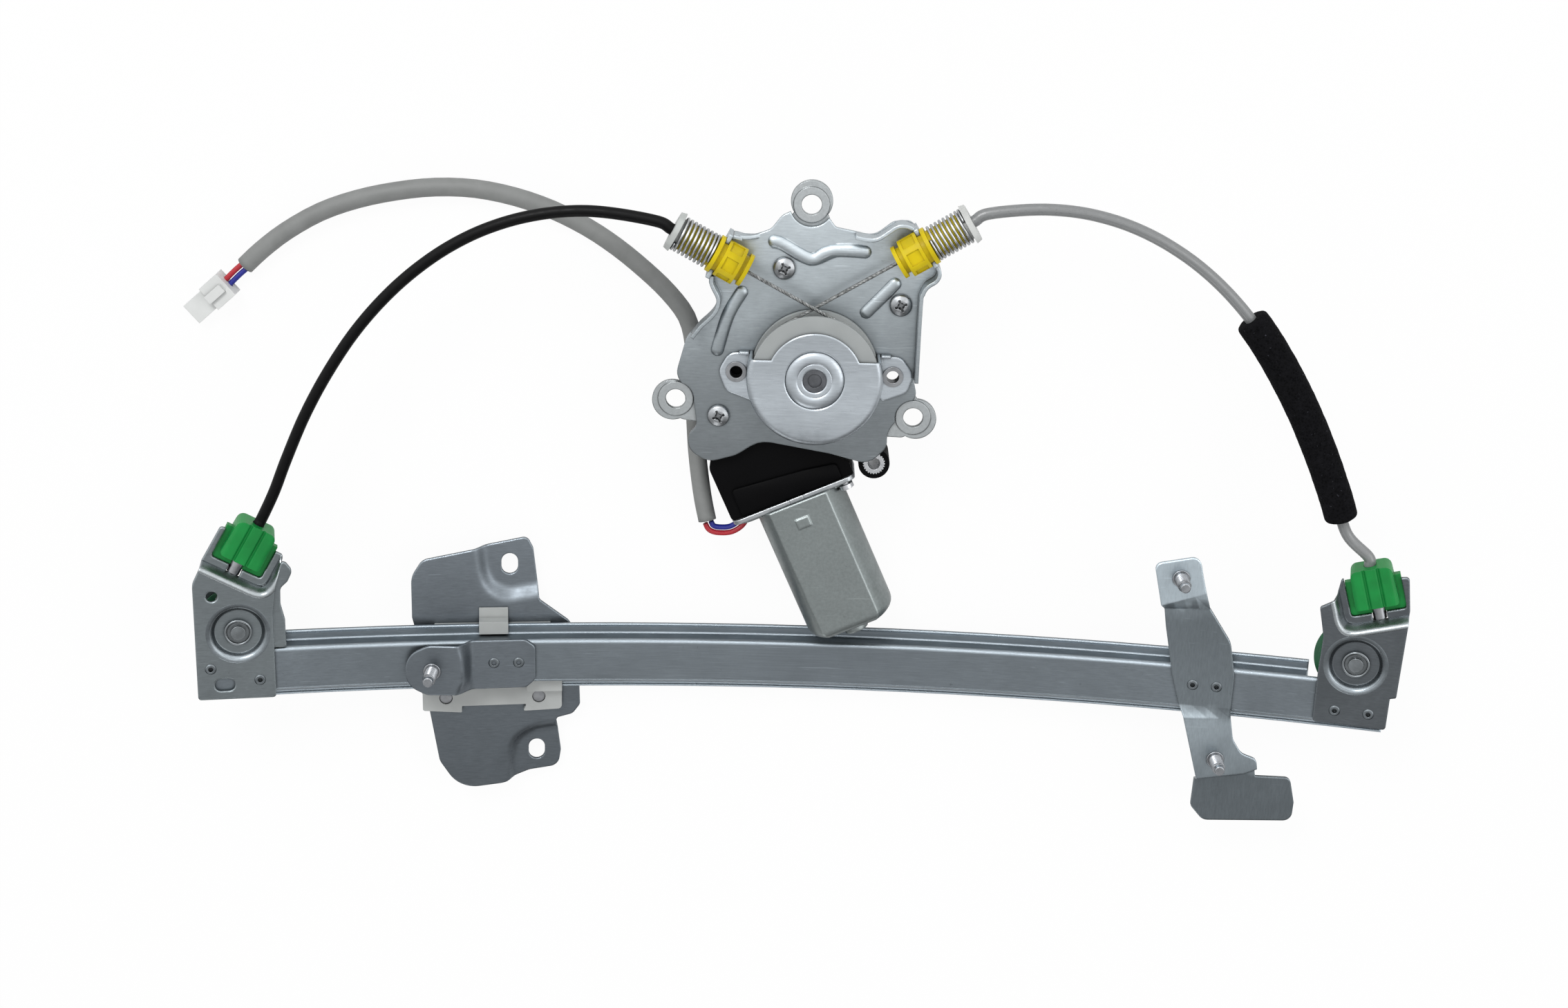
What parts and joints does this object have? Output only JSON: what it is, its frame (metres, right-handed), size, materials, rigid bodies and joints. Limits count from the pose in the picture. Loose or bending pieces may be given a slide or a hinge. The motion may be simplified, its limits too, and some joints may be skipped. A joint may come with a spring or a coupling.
{
  "type": "window regulator",
  "caption": "Power window regulator: a geared motor turns a cable drum that pulls a lift plate along a bowed rail by wire rope in sprung conduits.",
  "frame": {"origin": "centre of the bolt circle of the three motor-bracket ears, on the ears' top faces", "axes": "+X along the guide rail towards the foam-sleeved conduit's end, +Y from the rail towards the drum head, +Z out of the plates, the way the studs point"},
  "size_m": [0.5378, 0.2911, 0.0526],
  "materials": {
    "drum_plate_zinc": "satin zinc",
    "bracket_zinc": "bright zinc",
    "cover_zinc": "bright zinc",
    "eyelet_steel": "satin",
    "screw_zinc": "bright zinc",
    "drum_die_cast": "as cast",
    "shaft_steel": "oiled",
    "wheel_nylon": "natural",
    "rope_steel": "greased strand",
    "guide_yellow": "moulded",
    "spring_steel": "zinc plated",
    "cap_grey": "moulded",
    "housing_black": "glass-filled nylon",
    "gear_cover_black": "moulded",
    "insert_steel": "knurled",
    "flange_zinc": "bright zinc",
    "can_zinc": "deep drawn, zinc plated",
    "can_screw_zinc": "bright zinc",
    "ferrite": "sintered",
    "ground_steel": "ground",
    "wound_core": "enamelled copper and laminations",
    "commutator_copper": "turned",
    "brush_card_plastic": "moulded",
    "carbon": "carbon",
    "sintered_bronze": "sintered",
    "rail_steel": "galvanised",
    "bracket_steel": "galvanised",
    "back_plate_steel": "galvanised",
    "pulley_green": "acetal",
    "pin_steel": "cold headed",
    "guide_green": "moulded",
    "tube_steel": "drawn",
    "stud_bracket_steel": "galvanised",
    "stud_zinc": "bright zinc",
    "rivet_steel": "satin",
    "lift_plate_steel": "galvanised",
    "slider_white": "acetal",
    "nipple_zinc": "die cast",
    "conduit_black": "extruded",
    "conduit_grey": "extruded",
    "foam_black": "closed-cell foam",
    "sleeve_grey": "woven sleeve",
    "lead_red": "insulation",
    "lead_blue": "insulation",
    "plug_white": "moulded"
  },
  "bodies": {
    "frame": {"drum_plate": "drum_plate_zinc", "motor_bracket": "bracket_zinc", "drum_cover": "cover_zinc", "cover_eyelets": "eyelet_steel", "plate_screws": "screw_zinc", "left_head_rope": "rope_steel", "right_head_rope": "rope_steel", "left_cable_guide": "guide_yellow", "right_cable_guide": "guide_yellow", "left_spring": "spring_steel", "right_spring": "spring_steel", "left_spring_cap": "cap_grey", "right_spring_cap": "cap_grey", "gear_housing": "housing_black", "gear_cover": "gear_cover_black", "thread_insert": "insert_steel", "motor_flange": "flange_zinc", "motor_can": "can_zinc", "can_screws": "can_screw_zinc", "magnets": "ferrite", "brush_card": "brush_card_plastic", "brushes": "carbon", "armature_bearings": "sintered_bronze", "rail": "rail_steel", "left_bracket": "bracket_steel", "right_bracket": "bracket_steel", "left_back_plate": "back_plate_steel", "right_back_plate": "back_plate_steel", "pulley_pins": "pin_steel", "left_conduit_guide": "guide_green", "right_conduit_guide": "guide_green", "guide_tubes": "tube_steel", "rail_rope": "rope_steel", "stud_bracket": "stud_bracket_steel", "cross_bracket": "stud_bracket_steel", "studs": "stud_zinc", "bracket_rivets": "rivet_steel", "left_conduit": "conduit_black", "right_conduit": "conduit_grey", "foam_sleeve": "foam_black", "harness_sleeve": "sleeve_grey", "red_lead": "lead_red", "blue_lead": "lead_blue", "plug": "plug_white"},
    "drum_train": {"drum": "drum_die_cast", "output_shaft": "shaft_steel", "worm_wheel": "wheel_nylon"},
    "armature": {"armature_shaft": "ground_steel", "armature_core": "wound_core", "commutator": "commutator_copper"},
    "left_wheel": {"left_pulley": "pulley_green"},
    "right_wheel": {"right_pulley": "pulley_green"},
    "carriage": {"lift_plate": "lift_plate_steel", "slider": "slider_white", "slider_rivets": "rivet_steel", "cable_nipples": "nipple_zinc"}
  },
  "joints": [
    {"name": "armature_spin", "type": "hinge", "parent": "frame", "child": "armature", "pos_m": [-0.02041, -0.02429, -0.0135], "axis": [0.4099, -0.9121, 0], "range_deg": [-42656.03, 6880.01]},
    {"name": "drum_spin", "type": "hinge", "parent": "frame", "child": "drum_train", "pos_m": [0.0065, -0.0122, 0], "axis": [0, 0, 1], "range_deg": [-113.01, 700.68]},
    {"name": "left_pulley_spin", "type": "hinge", "parent": "frame", "child": "left_wheel", "pos_m": [-0.24428, -0.1362, 0.00292], "axis": [0.2209, 0, 0.9753], "range_deg": [-205.04, 1271.23]},
    {"name": "right_pulley_spin", "type": "hinge", "parent": "frame", "child": "right_wheel", "pos_m": [0.24918, -0.1362, 0.00404], "axis": [-0.2253, 0, 0.9743], "range_deg": [-205.04, 1271.23]},
    {"name": "carriage_travel", "type": "hinge", "parent": "frame", "child": "carriage", "pos_m": [0, -0.1548, 1.0815], "axis": [0, -1, 0], "range_deg": [-2.6, 16.09]}
  ],
  "couplings": [
    {"joint": "drum_spin", "follows": "armature_spin", "ratio": -0.016393},
    {"joint": "left_pulley_spin", "follows": "armature_spin", "ratio": -0.029742},
    {"joint": "right_pulley_spin", "follows": "armature_spin", "ratio": -0.029742},
    {"joint": "carriage_travel", "follows": "armature_spin", "ratio": -0.00037652}
  ]
}
